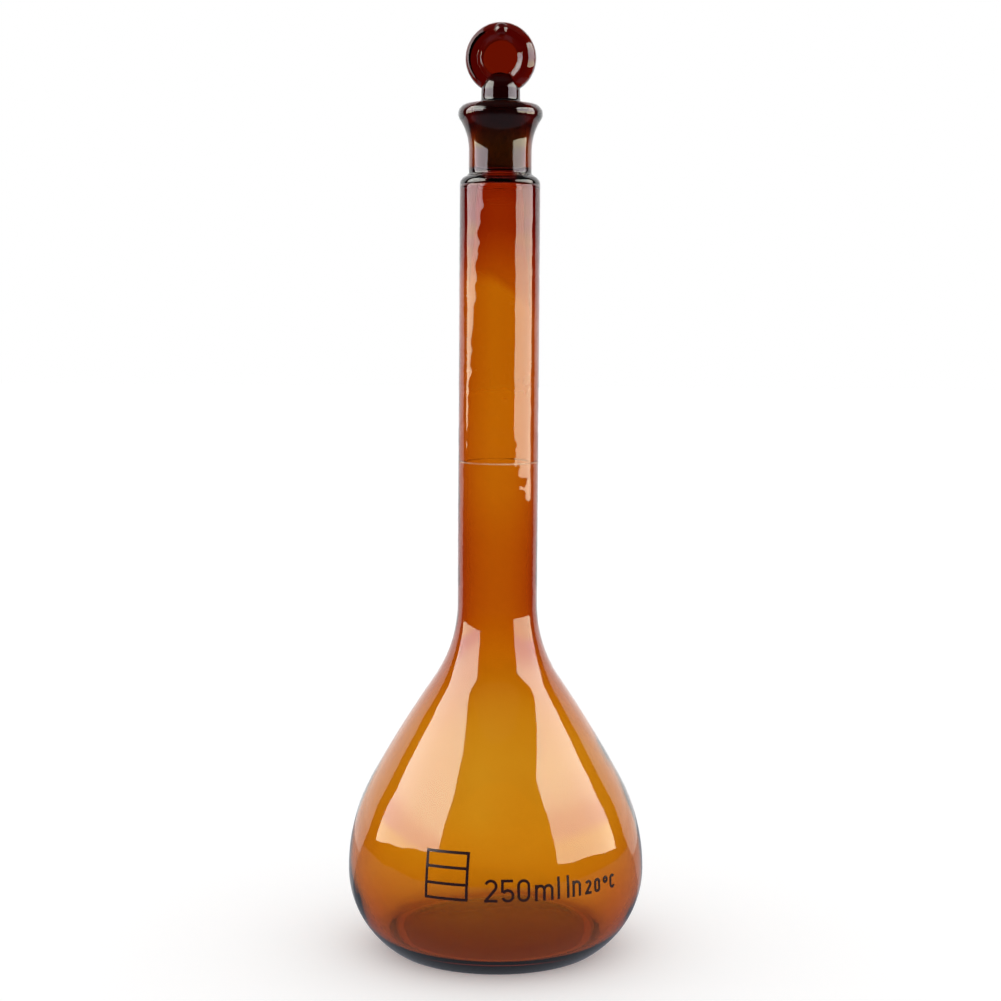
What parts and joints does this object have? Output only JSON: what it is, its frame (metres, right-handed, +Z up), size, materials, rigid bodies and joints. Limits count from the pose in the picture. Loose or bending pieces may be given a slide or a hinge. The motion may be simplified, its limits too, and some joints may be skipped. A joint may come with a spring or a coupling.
{
  "type": "volumetric flask",
  "caption": "Amber glass volumetric flask: pear-shaped bulb on a ring foot, long neck with an etched line, and a ground stopper with a disc head that lifts out.",
  "frame": {"origin": "middle of the base, on the surface that the flask stands on", "axes": "+Z up along the neck; -Y is the side that carries the printed figures; +X is to the right when the figures are read"},
  "size_m": [0.08, 0.0801, 0.2479],
  "materials": {
    "amber_glass": "clear amber borosilicate glass, fire-polished",
    "stopper_glass": "clear dark amber glass, with a fine-ground cone",
    "fired_ink": "fired-on dark brown enamel, satin",
    "etched_line": "fine etched line, matt"
  },
  "bodies": {
    "flask": {"bulb": "amber_glass", "neck_tube": "amber_glass", "ground_socket": "amber_glass", "graduation_ring": "etched_line", "capacity_print": "fired_ink", "temperature_print": "fired_ink", "marking_panel": "fired_ink"},
    "stopper": {"stopper_plug": "stopper_glass", "stopper_stem": "stopper_glass", "stopper_disc": "stopper_glass"}
  },
  "joints": [
    {"name": "stopper_lift", "type": "slide", "parent": "flask", "child": "stopper", "axis": [0, 0, 1], "range_m": [0, 0.04]}
  ]
}
